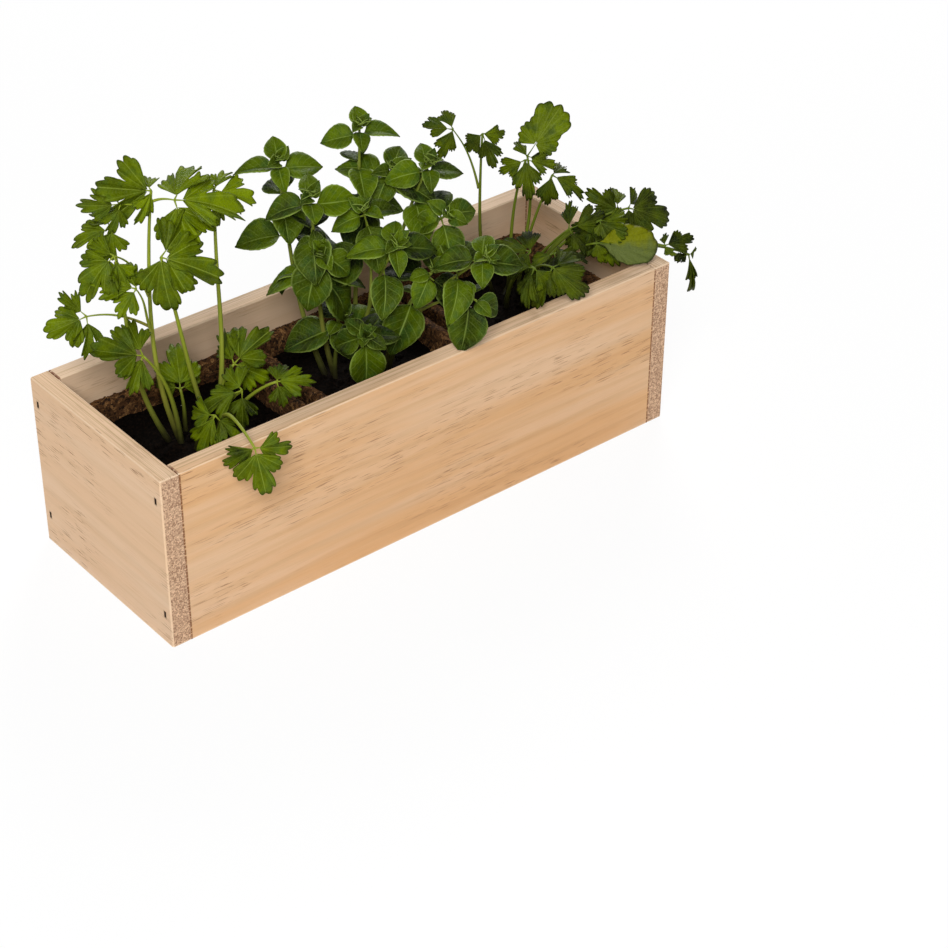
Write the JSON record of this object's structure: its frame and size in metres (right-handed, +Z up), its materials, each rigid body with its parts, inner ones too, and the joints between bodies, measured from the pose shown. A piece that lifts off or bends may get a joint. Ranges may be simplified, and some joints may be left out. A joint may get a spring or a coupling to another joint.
{
  "type": "indoor herb planter",
  "caption": "Long open pine box, nailed at its ends, with a row of square fibre pots of growing parsley, basil and coriander that lift out.",
  "frame": {"origin": "middle of the base panel's underside, on the surface the box stands on", "axes": "+X along the box to the right, +Y to the rear, +Z up"},
  "size_m": [0.3065, 0.1208, 0.1897],
  "materials": {
    "pine": "matte",
    "base_ply": "matte",
    "brad_steel": "satin",
    "coir_fibre": "matte",
    "compost": "matte",
    "parsley_stem": "satin",
    "parsley_leaf": "satin",
    "basil_stem": "satin",
    "basil_leaf": "satin",
    "coriander_stem": "satin",
    "coriander_leaf": "satin"
  },
  "bodies": {
    "box": {"front_board": "pine", "rear_board": "pine", "left_end_board": "pine", "right_end_board": "pine", "base_panel": "base_ply", "left_end_brads": "brad_steel", "right_end_brads": "brad_steel"},
    "parsley_pot": {"parsley_fibre_pot": "coir_fibre", "parsley_compost": "compost", "parsley_stems": "parsley_stem", "parsley_leaves": "parsley_leaf"},
    "basil_pot": {"basil_fibre_pot": "coir_fibre", "basil_compost": "compost", "basil_stems": "basil_stem", "basil_leaves": "basil_leaf"},
    "coriander_pot": {"coriander_fibre_pot": "coir_fibre", "coriander_compost": "compost", "coriander_stems": "coriander_stem", "coriander_leaves": "coriander_leaf"}
  },
  "joints": [
    {"name": "parsley_pot_lift", "type": "slide", "parent": "box", "child": "parsley_pot", "axis": [0, 0, 1], "range_m": [0, 0.09]},
    {"name": "basil_pot_lift", "type": "slide", "parent": "box", "child": "basil_pot", "axis": [0, 0, 1], "range_m": [0, 0.09]},
    {"name": "coriander_pot_lift", "type": "slide", "parent": "box", "child": "coriander_pot", "axis": [0, 0, 1], "range_m": [0, 0.09]}
  ]
}
